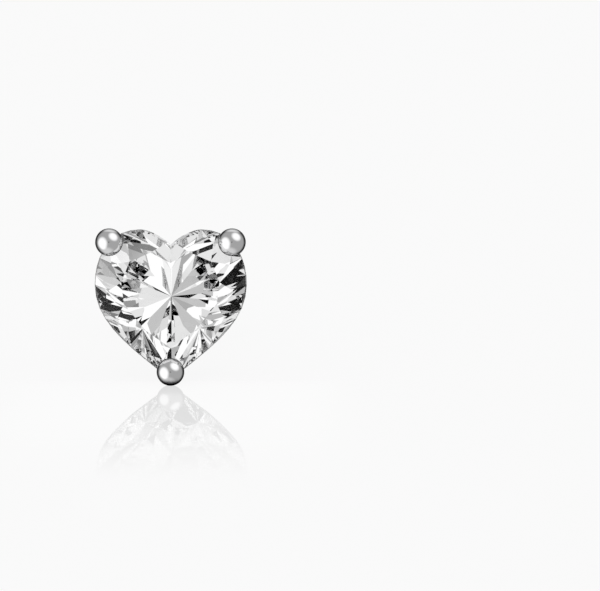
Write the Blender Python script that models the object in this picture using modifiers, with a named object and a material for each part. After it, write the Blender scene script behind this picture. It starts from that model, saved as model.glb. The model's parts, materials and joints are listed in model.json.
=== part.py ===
"""A stud earring: a clear heart-cut stone in a three-prong silver setting, with its post and butterfly clutch.

Lengths are metres. The pieces are modelled face up: the heart lies in XY, and the post runs down -Z.
The last section stands the earring up, leaning back on its tip prong and its clutch.
"""

import math

import bmesh
import bpy
import numpy as np
from mathutils import Vector

# Heart outline, measured from the stone's axis
HEART_WIDTH = 0.0060
LOBE_RISE = 0.00264
CLEFT_RISE = 0.00202
POINT_DROP = 0.00330
TIP_DROP = 0.00312

# Shares of the half width or of the lobe's rise that place the outline's curves
LOBE_TOP_SHARE = 0.40
WIDEST_SHARE = 0.18
HANDLE_SHARES = {
    "cleft": 0.22,
    "lobe_in": 0.07,
    "lobe_out": 0.42,
    "side_up": 0.36,
    "side_down": 0.51,
    "point": 0.69,
}
CLEFT_SLOPE = math.radians(44.6)
POINT_SLOPE = math.radians(51.1)
OUTLINE_STEPS = 9

# Stone cut
CROWN_HEIGHT = 0.00084
GIRDLE_THICKNESS = 0.00012
PAVILION_DEPTH = 0.00276
TABLE_SHARE = 0.65
STAR_SHARE = 0.44
LOWER_HALF_SHARE = 0.61
MAIN_AZIMUTHS = (86.0, 38.0, 7.0, -18.0, -48.0)

# Setting
BALL_DIAMETER = 0.00109
BALL_RISE = 0.00062
UPPER_BALL_ACROSS = 0.00242
UPPER_BALL_UP = 0.00213
TIP_BALL_DROP = 0.00298
PRONG_DIAMETER = 0.00062
PRONG_BEND_DEPTH = 0.00010
SEAT_CLEARANCE = 0.00005
GALLERY_DIAMETER = 0.00050
GALLERY_DEPTH = 0.00130
GALLERY_SHARE = 0.78
BASE_DIAMETER = 0.00260
BASE_THICKNESS = 0.00050
BASE_GAP = 0.00025
BASE_EDGE = 0.00008

# Post
POST_DIAMETER = 0.00085
POST_LENGTH = 0.0095
POST_FILLET = 0.00015
POST_END_CHAMFER = 0.00020
NOTCH_WIDTH = 0.00050
NOTCH_DEPTH = 0.00010
NOTCH_FROM_END = 0.00150

# Clutch
CLUTCH_FROM_BASE = 0.0045
CLUTCH_WIDTH = 0.0039
CLUTCH_SHEET = 0.00024
CLUTCH_CLEARANCE = 0.00006
WING_BEND_RADIUS = 0.00074
CURL_RADIUS = 0.00042
CURL_TURN = math.radians(235.0)
WAIST_HALF_HEIGHT = 0.00105
WING_HALF_HEIGHT = 0.00155
CURL_HALF_HEIGHT = 0.00080
COLLAR_DIAMETER = 0.00180
COLLAR_TOP_DIAMETER = 0.00140
COLLAR_HEIGHT = 0.00030

# Fineness of the round shapes
BALL_SEGMENTS = 28
POST_SEGMENTS = 24
WIRE_BEVEL = 5
PRONG_STEPS = 14
PLATE_STEPS = 6
WING_STEPS = 12
WELD = 0.0000001
LEAN_ACCURACY = 0.00001

SILVER = ("rhodium_silver", (0.80, 0.80, 0.81, 1.0), 1.0, 0.12)
CRYSTAL = ("clear_crystal", (1.0, 1.0, 1.0, 1.0), 0.0, 0.0)


def bezier(start, start_handle, end_handle, end, steps):
    """The points of one cubic stretch, without its last point."""
    shares = np.linspace(0.0, 1.0, steps, endpoint=False)[:, None]
    rest = 1.0 - shares
    return (
        rest**3 * start
        + 3 * rest**2 * shares * start_handle
        + 3 * rest * shares**2 * end_handle
        + shares**3 * end
    )


def half_outline(steps=OUTLINE_STEPS):
    """The right half of the heart from the cleft over the lobe to the blunt tip, as rows of x and y."""
    half = HEART_WIDTH / 2
    reach = {name: share * half for name, share in HANDLE_SHARES.items()}
    cleft = np.array([0.0, CLEFT_RISE])
    lobe = np.array([LOBE_TOP_SHARE * half, LOBE_RISE])
    side = np.array([half, WIDEST_SHARE * LOBE_RISE])
    point = np.array([0.0, -POINT_DROP])
    from_cleft = reach["cleft"] * np.array([math.cos(CLEFT_SLOPE), math.sin(CLEFT_SLOPE)])
    from_point = reach["point"] * np.array([math.sin(POINT_SLOPE), math.cos(POINT_SLOPE)])
    across = np.array([1.0, 0.0])
    up = np.array([0.0, 1.0])
    rows = np.vstack(
        [
            bezier(cleft, cleft + from_cleft, lobe - reach["lobe_in"] * across, lobe, steps),
            bezier(lobe, lobe + reach["lobe_out"] * across, side + reach["side_up"] * up, side, steps),
            bezier(side, side - reach["side_down"] * up, point + from_point, point, steps),
            point[None],
        ]
    )
    kept = rows[rows[:, 1] > -TIP_DROP]
    beyond = rows[len(kept)]
    share = (kept[-1][1] + TIP_DROP) / (kept[-1][1] - beyond[1])
    corner = kept[-1] + share * (beyond - kept[-1])
    return np.vstack([kept, corner])


def direction(azimuth):
    return np.array([math.cos(azimuth), math.sin(azimuth)])


def support(outline, azimuth):
    """The outline's farthest point in one direction."""
    return outline[np.argmax(outline @ direction(azimuth))]


class Facet:
    """A cutting plane, as its outward normal and its distance from the stone's centre."""

    def __init__(self, normal, distance):
        length = np.linalg.norm(normal)
        self.normal = np.asarray(normal, float) / length
        self.distance = distance / length

    @classmethod
    def through(cls, first, second, third):
        """The plane of three points, facing away from the stone's centre."""
        normal = np.cross(second - first, third - first)
        distance = normal @ first
        sign = math.copysign(1.0, distance)
        return cls(sign * normal, sign * distance)

    @classmethod
    def upright(cls, start, end):
        """The upright plane along one edge of the girdle."""
        along = end - start
        normal = np.array([-along[1], along[0], 0.0])
        distance = normal[:2] @ start
        sign = math.copysign(1.0, distance)
        return cls(sign * normal, sign * distance)

    @classmethod
    def main(cls, foot, azimuth, level, apex):
        """The plane that touches the outline at foot and crosses the stone's axis at the height apex."""
        reach = direction(azimuth) @ foot
        rise = apex - level
        side = math.copysign(1.0, rise)
        normal = np.append(direction(azimuth) * rise * side, reach * side)
        return cls(normal, normal @ np.append(foot, level))


def meet(first, second, height):
    """The point at one height where two planes cross."""
    rows = np.vstack([first.normal, second.normal, (0.0, 0.0, 1.0)])
    return np.linalg.solve(rows, (first.distance, second.distance, height))


def facets_of_half():
    """Every cutting plane of the stone's right half."""
    outline = half_outline()
    azimuths = [math.radians(angle) for angle in MAIN_AZIMUTHS]
    feet = [support(outline, azimuth) for azimuth in azimuths]
    tip_azimuth = -math.pi / 2
    tip = np.array([0.0, -TIP_DROP])
    cleft = outline[0]
    middle = Facet((-1.0, 0.0, 0.0), 0.0)
    facets = [Facet.upright(start, end) for start, end in zip(outline[:-1], outline[1:])]
    facets.append(Facet((0.0, -1.0, 0.0), TIP_DROP))

    stations = [cleft, *feet, tip]
    betweens = [support(outline, (azimuths[0] + math.pi / 2 + CLEFT_SLOPE) / 2)]
    betweens += [support(outline, (a + b) / 2) for a, b in zip(azimuths[:-1], azimuths[1:])]
    betweens.append(outline[-1])

    table_level = GIRDLE_THICKNESS / 2 + CROWN_HEIGHT
    culet_level = -GIRDLE_THICKNESS / 2 - PAVILION_DEPTH
    crown_apex = GIRDLE_THICKNESS / 2 + CROWN_HEIGHT / (1 - TABLE_SHARE)
    sides = (
        (GIRDLE_THICKNESS / 2, crown_apex, table_level - STAR_SHARE * CROWN_HEIGHT),
        (-GIRDLE_THICKNESS / 2, culet_level, -GIRDLE_THICKNESS / 2 - LOWER_HALF_SHARE * PAVILION_DEPTH),
    )
    for level, apex, meeting_height in sides:
        mains = [Facet.main(foot, azimuth, level, apex) for foot, azimuth in zip(feet, azimuths)]
        mains.append(Facet.main(tip, tip_azimuth, level, apex))
        facets += mains
        ring = [middle, *mains]
        for index, between in enumerate(betweens):
            meeting = meet(ring[index], ring[index + 1], meeting_height)
            on_girdle = np.append(between, level)
            before = np.append(stations[index], level)
            after = np.append(stations[index + 1], level)
            facets.append(Facet.through(before, on_girdle, meeting))
            if index + 1 < len(betweens):
                facets.append(Facet.through(on_girdle, after, meeting))
            if apex > level:
                corners = [np.append(TABLE_SHARE * spot[:2], table_level) for spot in (before, after)]
                facets.append(Facet.through(*corners, meeting))
    facets.append(Facet((0.0, 0.0, 1.0), table_level))
    return facets


def remove_startup_objects():
    for startup in list(bpy.data.objects):
        bpy.data.objects.remove(startup, do_unlink=True)


def make_collection(name):
    collection = bpy.data.collections.new(name)
    bpy.context.scene.collection.children.link(collection)
    return collection


def make_material(name, colour, metallic, roughness):
    material = bpy.data.materials.new(name)
    material.use_nodes = True
    principled = material.node_tree.nodes["Principled BSDF"]
    principled.inputs["Base Color"].default_value = colour
    principled.inputs["Metallic"].default_value = metallic
    principled.inputs["Roughness"].default_value = roughness
    return material


def add_object(name, data, collection, material=None):
    obj = bpy.data.objects.new(name, data)
    collection.objects.link(obj)
    if material:
        data.materials.append(material)
    return obj


def mesh_from(bm, name):
    mesh = bpy.data.meshes.new(name)
    bm.to_mesh(mesh)
    bm.free()
    return mesh


def smooth(mesh, sharp_degrees=35.0):
    mesh.shade_smooth()
    mesh.set_sharp_from_angle(angle=math.radians(sharp_degrees))


def join_with(obj, other, operation, solver="EXACT"):
    modifier = obj.modifiers.new(f"{operation.lower()} {other.name}", "BOOLEAN")
    modifier.operation = operation
    modifier.object = other
    modifier.solver = solver


def make_helper(obj):
    obj.hide_render = True
    obj.display_type = "WIRE"
    return obj


def cut_away(bm, facet, margin):
    """Removes what lies beyond one plane and closes the cut."""
    spot = Vector(facet.normal * (facet.distance + margin))
    everything = bm.verts[:] + bm.edges[:] + bm.faces[:]
    cut = bmesh.ops.bisect_plane(
        bm, geom=everything, dist=WELD, plane_co=spot, plane_no=Vector(facet.normal), clear_outer=True
    )
    rim = [item for item in cut["geom_cut"] if isinstance(item, bmesh.types.BMEdge)]
    if len(rim) > 2:
        bmesh.ops.contextual_create(bm, geom=rim)


def heart_stone_half(name, margin):
    """The stone's right half, grown by the margin and open at the middle plane."""
    bm = bmesh.new()
    bmesh.ops.create_cube(bm, size=2 * HEART_WIDTH)
    for vert in bm.verts:
        vert.co.x = max(vert.co.x, 0.0)
    for facet in facets_of_half():
        cut_away(bm, facet, margin)
    bmesh.ops.remove_doubles(bm, verts=bm.verts, dist=WELD)
    inner = [face for face in bm.faces if all(vert.co.x < WELD for vert in face.verts)]
    bmesh.ops.delete(bm, geom=inner, context="FACES")
    bmesh.ops.recalc_face_normals(bm, faces=bm.faces)
    return mesh_from(bm, name)


def add_heart(name, margin, collection, material=None):
    obj = add_object(name, heart_stone_half(name, margin), collection, material)
    mirror = obj.modifiers.new("other half", "MIRROR")
    mirror.use_axis = (True, False, False)
    mirror.merge_threshold = WELD
    return obj


def wire_mesh(name, rows, diameter, cyclic=False):
    """A round wire through the rows of points, as a closed mesh."""
    curve = bpy.data.curves.new(name, "CURVE")
    curve.dimensions = "3D"
    curve.bevel_depth = diameter / 2
    curve.bevel_resolution = WIRE_BEVEL
    curve.use_fill_caps = not cyclic
    curve.twist_mode = "MINIMUM"
    spline = curve.splines.new("POLY")
    spline.points.add(len(rows) - 1)
    for point, row in zip(spline.points, rows):
        point.co = (*row, 1.0)
    spline.use_cyclic_u = cyclic
    guide = bpy.data.objects.new(name, curve)
    bpy.context.scene.collection.objects.link(guide)
    evaluated = guide.evaluated_get(bpy.context.evaluated_depsgraph_get())
    mesh = bpy.data.meshes.new_from_object(evaluated)
    bpy.data.objects.remove(guide, do_unlink=True)
    bm = bmesh.new()
    bm.from_mesh(mesh)
    bmesh.ops.remove_doubles(bm, verts=bm.verts, dist=WELD)
    bmesh.ops.recalc_face_normals(bm, faces=bm.faces)
    bm.to_mesh(mesh)
    bm.free()
    smooth(mesh)
    return mesh


def base_back():
    """The height of the base plate's back, which lies on the ear."""
    return -GIRDLE_THICKNESS / 2 - PAVILION_DEPTH - BASE_GAP - BASE_THICKNESS


def add_base_and_post(collection, material):
    """The base plate and the notched post, turned as one piece."""
    back = base_back()
    front = back + BASE_THICKNESS
    end = back - POST_LENGTH
    plate = BASE_DIAMETER / 2
    shaft = POST_DIAMETER / 2
    notch = end + NOTCH_FROM_END
    profile = (
        (0.0, front),
        (plate - BASE_EDGE, front),
        (plate, front - BASE_EDGE),
        (plate, back + BASE_EDGE),
        (plate - BASE_EDGE, back),
        (shaft + POST_FILLET, back),
        (shaft, back - POST_FILLET),
        (shaft, notch + NOTCH_WIDTH / 2 + NOTCH_DEPTH),
        (shaft - NOTCH_DEPTH, notch + NOTCH_WIDTH / 2),
        (shaft - NOTCH_DEPTH, notch - NOTCH_WIDTH / 2),
        (shaft, notch - NOTCH_WIDTH / 2 - NOTCH_DEPTH),
        (shaft, end + POST_END_CHAMFER),
        (shaft - POST_END_CHAMFER, end),
        (0.0, end),
    )
    bm = bmesh.new()
    verts = [bm.verts.new((radius, 0.0, height)) for radius, height in profile]
    for first, second in zip(verts[:-1], verts[1:]):
        bm.edges.new((first, second))
    obj = add_object("setting", mesh_from(bm, "setting"), collection, material)
    screw = obj.modifiers.new("turned", "SCREW")
    screw.steps = POST_SEGMENTS
    screw.render_steps = POST_SEGMENTS
    screw.use_merge_vertices = True
    screw.merge_threshold = WELD
    return obj


def ball_spots():
    """Where the three ball tips sit, seen from the front."""
    return {
        "right": np.array([UPPER_BALL_ACROSS, UPPER_BALL_UP]),
        "left": np.array([-UPPER_BALL_ACROSS, UPPER_BALL_UP]),
        "tip": np.array([0.0, -TIP_BALL_DROP]),
    }


def prong_rows(spot):
    """The wire's middle line from inside the base plate, out past the girdle and up into the ball."""
    reach = np.linalg.norm(spot)
    outward = spot / reach
    foot = np.array([BASE_DIAMETER / 2 - PRONG_DIAMETER / 2, base_back() + BASE_THICKNESS / 2])
    shoulder = np.array([reach, -PRONG_BEND_DEPTH])
    top = np.array([reach, BALL_RISE])
    rising = (shoulder - foot) / (shoulder - foot)[1]
    corner = shoulder + rising * BALL_RISE / 2
    rows = np.vstack([foot[None], bezier(shoulder, corner, top, top, PRONG_STEPS), top[None]])
    return [(*(outward * radius), height) for radius, height in rows]


def add_prongs(setting, helpers):
    for side, spot in ball_spots().items():
        wire = add_object(f"prong_{side}", wire_mesh(f"prong_{side}", prong_rows(spot), PRONG_DIAMETER), helpers)
        join_with(setting, make_helper(wire), "UNION")
        bm = bmesh.new()
        bmesh.ops.create_uvsphere(
            bm, u_segments=BALL_SEGMENTS, v_segments=BALL_SEGMENTS // 2, radius=BALL_DIAMETER / 2
        )
        ball = add_object(f"ball_{side}", mesh_from(bm, f"ball_{side}"), helpers)
        smooth(ball.data)
        ball.location = (*spot, BALL_RISE)
        join_with(setting, make_helper(ball), "UNION")


def add_gallery(setting, helpers):
    """The heart-shaped rail that ties the prongs together behind the stone."""
    half = half_outline()
    other = half[1:][::-1] * (-1.0, 1.0)
    ring = [(*row, -GALLERY_DEPTH) for row in GALLERY_SHARE * np.vstack([half, other])]
    rail = add_object("gallery", wire_mesh("gallery", ring, GALLERY_DIAMETER, cyclic=True), helpers)
    join_with(setting, make_helper(rail), "UNION")


def make_setting(parts, helpers, material):
    setting = add_base_and_post(parts, material)
    add_gallery(setting, helpers)
    add_prongs(setting, helpers)
    seat = make_helper(add_heart("stone_seat", SEAT_CLEARANCE, helpers))
    join_with(setting, seat, "DIFFERENCE", "MANIFOLD")


def arc(centre, radius, start, turn, steps):
    """Points along an arc, without its first point."""
    angles = start + turn * np.arange(1, steps + 1) / steps
    return centre + radius * np.stack([np.cos(angles), np.sin(angles)], axis=1)


def wing_line():
    """The middle line of the clutch's right wing: across the plate, round the wing and into the curl."""
    inner = POST_DIAMETER / 2 + CLUTCH_CLEARANCE + CLUTCH_SHEET / 2
    bend_centre = np.array([(CLUTCH_WIDTH - CLUTCH_SHEET) / 2 - WING_BEND_RADIUS, -WING_BEND_RADIUS])
    curl_centre = np.array([inner + CURL_RADIUS, CURL_RADIUS - 2 * WING_BEND_RADIUS])
    plate = np.linspace((0.0, 0.0), (bend_centre[0], 0.0), PLATE_STEPS)
    bend = arc(bend_centre, WING_BEND_RADIUS, math.pi / 2, -math.pi, WING_STEPS)
    curl = arc(curl_centre, CURL_RADIUS, -math.pi / 2, -CURL_TURN, WING_STEPS)
    return np.vstack([plate, bend, curl])


def wing_half_heights(line):
    """Half the sheet's height along the wing: a narrow waist, a tall wing and a rounded end."""
    steps = np.linalg.norm(np.diff(line, axis=0), axis=1)
    along = np.append(0.0, np.cumsum(steps))
    outer_end = PLATE_STEPS + WING_STEPS // 2 - 1
    tallest = along[outer_end]
    rising = np.sin(np.clip(along / tallest, 0.0, 1.0) * math.pi / 2) ** 2
    falling = np.sin(np.clip((along - tallest) / (along[-1] - tallest), 0.0, 1.0) * math.pi / 2) ** 2
    return (
        WAIST_HALF_HEIGHT
        + (WING_HALF_HEIGHT - WAIST_HALF_HEIGHT) * rising
        - (WING_HALF_HEIGHT - CURL_HALF_HEIGHT) * falling
    )


def make_clutch(parts, helpers, material):
    """The butterfly nut: one sheet with both ends rolled in to grip the post."""
    line = wing_line()
    heights = wing_half_heights(line)
    bm = bmesh.new()
    rows = [
        [bm.verts.new((x, side * height, z)) for side in (-1.0, 1.0)] for (x, z), height in zip(line, heights)
    ]
    for (low, high), (next_low, next_high) in zip(rows[:-1], rows[1:]):
        bm.faces.new((low, next_low, next_high, high))
    clutch = add_object("clutch", mesh_from(bm, "clutch"), parts, material)
    smooth(clutch.data)
    clutch.location.z = base_back() - CLUTCH_FROM_BASE - CLUTCH_SHEET / 2

    mirror = clutch.modifiers.new("other wing", "MIRROR")
    mirror.use_axis = (True, False, False)
    mirror.merge_threshold = WELD
    sheet = clutch.modifiers.new("sheet", "SOLIDIFY")
    sheet.thickness = CLUTCH_SHEET
    sheet.offset = 0.0
    sheet.use_even_offset = True

    collar_reach = COLLAR_HEIGHT + CLUTCH_SHEET / 2
    collar = add_cone("clutch_collar", COLLAR_DIAMETER, COLLAR_TOP_DIAMETER, collar_reach, helpers)
    collar.location.z = clutch.location.z + collar_reach / 2
    join_with(clutch, collar, "UNION")
    bore = POST_DIAMETER + 2 * CLUTCH_CLEARANCE
    drill = add_cone("clutch_bore", bore, bore, 2 * (collar_reach + CLUTCH_SHEET), helpers)
    drill.location.z = clutch.location.z
    join_with(clutch, drill, "DIFFERENCE")


def add_cone(name, bottom_diameter, top_diameter, height, helpers):
    bm = bmesh.new()
    bmesh.ops.create_cone(
        bm,
        cap_ends=True,
        segments=POST_SEGMENTS,
        radius1=bottom_diameter / 2,
        radius2=top_diameter / 2,
        depth=height,
    )
    cone = add_object(name, mesh_from(bm, name), helpers)
    smooth(cone.data)
    return make_helper(cone)


def points_of(obj, graph):
    evaluated = obj.evaluated_get(graph)
    mesh = evaluated.to_mesh()
    points = np.empty(3 * len(mesh.vertices))
    mesh.vertices.foreach_get("co", points)
    evaluated.to_mesh_clear()
    return points.reshape(-1, 3) + np.array(obj.location)


def stood_up(points, lean):
    """The points' world Y and Z once the face looks to -Y and leans back by the angle."""
    y = points[:, 1] * math.sin(lean) - points[:, 2] * math.cos(lean)
    z = points[:, 1] * math.cos(lean) + points[:, 2] * math.sin(lean)
    return y, z


def resting_lean(points):
    """The lean at which both the ball tip in front and the clutch behind touch the surface."""
    is_front = points[:, 2] > base_back()
    low = 0.0
    high = math.pi / 4
    while high - low > LEAN_ACCURACY:
        lean = (low + high) / 2
        heights = stood_up(points, lean)[1]
        if heights[is_front].min() < heights[~is_front].min():
            low = lean
        else:
            high = lean
    return (low + high) / 2


def stand_up(collection):
    """Rests the earring on its tip prong and its clutch, with the origin under the middle of its box."""
    graph = bpy.context.evaluated_depsgraph_get()
    points = np.vstack([points_of(piece, graph) for piece in collection.objects])
    lean = resting_lean(points)
    y, z = stood_up(points, lean)
    rest = bpy.data.objects.new("rest", None)
    bpy.context.scene.collection.objects.link(rest)
    rest.rotation_euler.x = math.pi / 2 - lean
    rest.location = (0.0, -(y.min() + y.max()) / 2, -z.min())
    for piece in (*collection.objects, *bpy.data.collections["cutters"].objects):
        piece.parent = rest


def main():
    remove_startup_objects()
    parts = make_collection("stud_earring")
    helpers = make_collection("cutters")
    silver = make_material(*SILVER)
    crystal = make_material(*CRYSTAL)
    crystal.node_tree.nodes["Principled BSDF"].inputs["Transmission Weight"].default_value = 1.0
    add_heart("stone", 0.0, parts, crystal)
    make_setting(parts, helpers, silver)
    make_clutch(parts, helpers, silver)
    stand_up(parts)


main()
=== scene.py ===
"""Looks of a stud earring: a clear heart-cut stone in a ball-tipped silver basket, with its post and clutch.

Lengths are metres. Each silver piece is shaped in the earring's own axes: x to the viewer's right, y up along
the face and z out of it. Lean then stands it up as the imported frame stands.
"""

from __future__ import annotations

import json
import logging
import math
from dataclasses import dataclass, field
from enum import Enum

import bmesh
import bpy
import numpy as np
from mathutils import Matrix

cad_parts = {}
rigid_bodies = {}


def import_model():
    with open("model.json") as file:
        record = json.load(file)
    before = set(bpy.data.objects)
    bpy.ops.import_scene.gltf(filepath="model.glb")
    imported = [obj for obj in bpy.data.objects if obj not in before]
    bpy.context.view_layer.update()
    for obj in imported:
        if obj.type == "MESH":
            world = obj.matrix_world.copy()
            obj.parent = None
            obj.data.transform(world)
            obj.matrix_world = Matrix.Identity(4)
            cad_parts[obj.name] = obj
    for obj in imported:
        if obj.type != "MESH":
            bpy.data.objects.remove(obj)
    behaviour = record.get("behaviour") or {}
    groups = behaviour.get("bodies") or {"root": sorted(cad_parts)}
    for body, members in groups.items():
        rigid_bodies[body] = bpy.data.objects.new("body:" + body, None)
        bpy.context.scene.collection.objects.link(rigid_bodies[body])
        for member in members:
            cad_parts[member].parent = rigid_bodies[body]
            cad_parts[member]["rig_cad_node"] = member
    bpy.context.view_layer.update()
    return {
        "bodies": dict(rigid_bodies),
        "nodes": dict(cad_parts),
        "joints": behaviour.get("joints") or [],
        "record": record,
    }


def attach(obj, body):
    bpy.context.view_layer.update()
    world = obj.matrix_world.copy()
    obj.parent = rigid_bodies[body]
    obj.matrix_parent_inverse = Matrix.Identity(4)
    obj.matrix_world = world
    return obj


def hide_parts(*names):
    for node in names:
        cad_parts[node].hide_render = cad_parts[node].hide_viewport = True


MM = 0.001
WELD = 0.0002 * MM
SHARP_DEGREES = 32.0
TINY = 1e-9
POINTS_AT_ONCE = 4000
LOG = logging.getLogger("stud_earring")


class Slot(Enum):
    """The record's material slots."""

    CRYSTAL = "clear_crystal"
    SILVER = "rhodium_silver"


class Polish(Enum):
    """How finely a silver surface is polished, as its roughness and the depth of its scratches."""

    MIRROR = (0.055, 0.10)
    SATIN = (0.20, 0.35)


@dataclass(frozen=True)
class Lean:
    """Where the earring's own axes lie in the scene.

    Attributes:
        middle: The stone's axis at the middle of its girdle.
        axes: The ways right, up along the face and out of the face, as rows.
    """

    middle: np.ndarray
    axes: np.ndarray

    @classmethod
    def of_frame(cls, frame: dict, table_height: float) -> Lean:
        """Reads the lean from the base plate's mount and the stone's table.

        Args:
            table_height: How far the table stands in front of the girdle's middle.

        Returns:
            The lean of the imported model.
        """
        mount = next(mount for mount in frame["record"]["mounts"] if mount["name"] == "base_back")
        right = np.array([1.0, 0.0, 0.0])
        out = -np.array(mount["axis"], float)
        out /= np.linalg.norm(out)
        spot = np.array(mount["pos_m"], float) * (0.0, 1.0, 1.0)
        table = (mesh_points(frame["nodes"]["stone"].data) @ out).max()
        middle = spot + out * (table - table_height - spot @ out)
        return cls(middle, np.vstack([right, np.cross(out, right), out]))

    def place(self, points: np.ndarray) -> np.ndarray:
        """Turns points in the earring's axes into points in the scene."""
        return self.middle + np.asarray(points, float) @ self.axes


def mesh_points(mesh: bpy.types.Mesh) -> np.ndarray:
    """The mesh's points, one a row."""
    points = np.empty(3 * len(mesh.vertices))
    mesh.vertices.foreach_get("co", points)
    return points.reshape(-1, 3)


def add_object(name: str, data: bpy.types.ID) -> bpy.types.Object:
    """Puts data into the scene as an object at the origin."""
    obj = bpy.data.objects.new(name, data)
    bpy.context.scene.collection.objects.link(obj)
    return obj


def add_mesh(name: str, points: np.ndarray, faces: list) -> bpy.types.Object:
    """Makes a welded mesh object whose faces point outwards.

    Args:
        name: The object's name.
        points: Its points, one a row.
        faces: Its faces, as tuples of point numbers.

    Returns:
        The object.
    """
    mesh = bpy.data.meshes.new(name)
    mesh.from_pydata(np.asarray(points).tolist(), [], faces)
    bm = bmesh.new()
    bm.from_mesh(mesh)
    bmesh.ops.remove_doubles(bm, verts=bm.verts, dist=WELD)
    bmesh.ops.recalc_face_normals(bm, faces=bm.faces)
    bm.to_mesh(mesh)
    bm.free()
    return add_object(name, mesh)


def settle(obj: bpy.types.Object) -> bpy.types.Object:
    """Turns an object with its modifiers into a plain mesh object of the same name."""
    name = obj.name
    evaluated = obj.evaluated_get(bpy.context.evaluated_depsgraph_get())
    mesh = bpy.data.meshes.new_from_object(evaluated)
    bpy.data.objects.remove(obj, do_unlink=True)
    return add_object(name, mesh)


def join(name: str, pieces: list[bpy.types.Object]) -> bpy.types.Object:
    """Joins plain mesh objects into one, with the first one's material."""
    bm = bmesh.new()
    for piece in pieces:
        bm.from_mesh(piece.data)
    for face in bm.faces:
        face.material_index = 0
    mesh = bpy.data.meshes.new(name)
    bm.to_mesh(mesh)
    bm.free()
    mesh.materials.append(pieces[0].data.materials[0])
    for piece in pieces:
        bpy.data.objects.remove(piece, do_unlink=True)
    return add_object(name, mesh)


def dress(obj: bpy.types.Object, material: bpy.types.Material) -> bpy.types.Object:
    """Gives an object one material and shades it smooth, with its sharp edges kept."""
    obj.data.materials.clear()
    obj.data.materials.append(material)
    obj.data.shade_smooth()
    obj.data.set_sharp_from_angle(angle=math.radians(SHARP_DEGREES))
    return obj


def cut_out(
    obj: bpy.types.Object, cutter: bpy.types.Object, solver: str, material: bpy.types.Material
) -> bpy.types.Object:
    """Cuts one object's shape out of another.

    Args:
        obj: The object.
        cutter: What is cut out of it.
        solver: The boolean modifier's solver.
        material: The finish that the object gets.

    Returns:
        The cut object.
    """
    difference = obj.modifiers.new(cutter.name, "BOOLEAN")
    difference.operation = "DIFFERENCE"
    difference.object = cutter
    difference.solver = solver
    return dress(settle(obj), material)


def move_points(obj: bpy.types.Object, points: np.ndarray) -> None:
    """Puts an object's points at new places."""
    obj.data.vertices.foreach_set("co", np.asarray(points, np.float32).ravel())
    obj.data.update()


def cubic(
    start: np.ndarray, start_handle: np.ndarray, end_handle: np.ndarray, end: np.ndarray, steps: int
) -> np.ndarray:
    """The points of one cubic stretch, without its last point."""
    shares = np.linspace(0.0, 1.0, steps, endpoint=False)[:, None]
    rest = 1.0 - shares
    return (
        rest**3 * start
        + 3 * rest**2 * shares * start_handle
        + 3 * rest * shares**2 * end_handle
        + shares**3 * end
    )


def corner(centre: tuple, radius: float, start: float, turn: float, steps: int) -> list[tuple]:
    """Points along an arc, its ends included.

    Args:
        centre: The arc's middle.
        radius: Its radius.
        start: The angle at which it starts, in degrees.
        turn: How far it turns, in degrees, anticlockwise where positive.
        steps: How many stretches it has.

    Returns:
        The points, as pairs.
    """
    angles = np.radians(start + turn * np.arange(steps + 1) / steps)
    return [(centre[0] + radius * math.cos(a), centre[1] + radius * math.sin(a)) for a in angles]


def turned(name: str, profile: list[tuple], segments: int) -> bpy.types.Object:
    """Turns a profile of (radius, height) pairs about the z axis into a closed shell.

    Args:
        name: The object's name.
        profile: The pairs. Where the first and last lie on the axis they close as poles, and otherwise the
            profile closes on itself.
        segments: How many steps the turn has.

    Returns:
        The object.
    """
    ring = len(profile)
    angles = 2 * math.pi * np.arange(segments) / segments
    radii, heights = np.array(profile).T
    x, y = np.outer(np.cos(angles), radii), np.outer(np.sin(angles), radii)
    points = np.stack([x, y, np.tile(heights, (segments, 1))], axis=2).reshape(-1, 3)
    closed = radii[0] > 0.0
    faces = []
    for step in range(segments):
        here, there = step * ring, (step + 1) % segments * ring
        for index in range(ring if closed else ring - 1):
            after = (index + 1) % ring
            faces.append((here + index, there + index, there + after, here + after))
    return add_mesh(name, points, faces)


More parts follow.
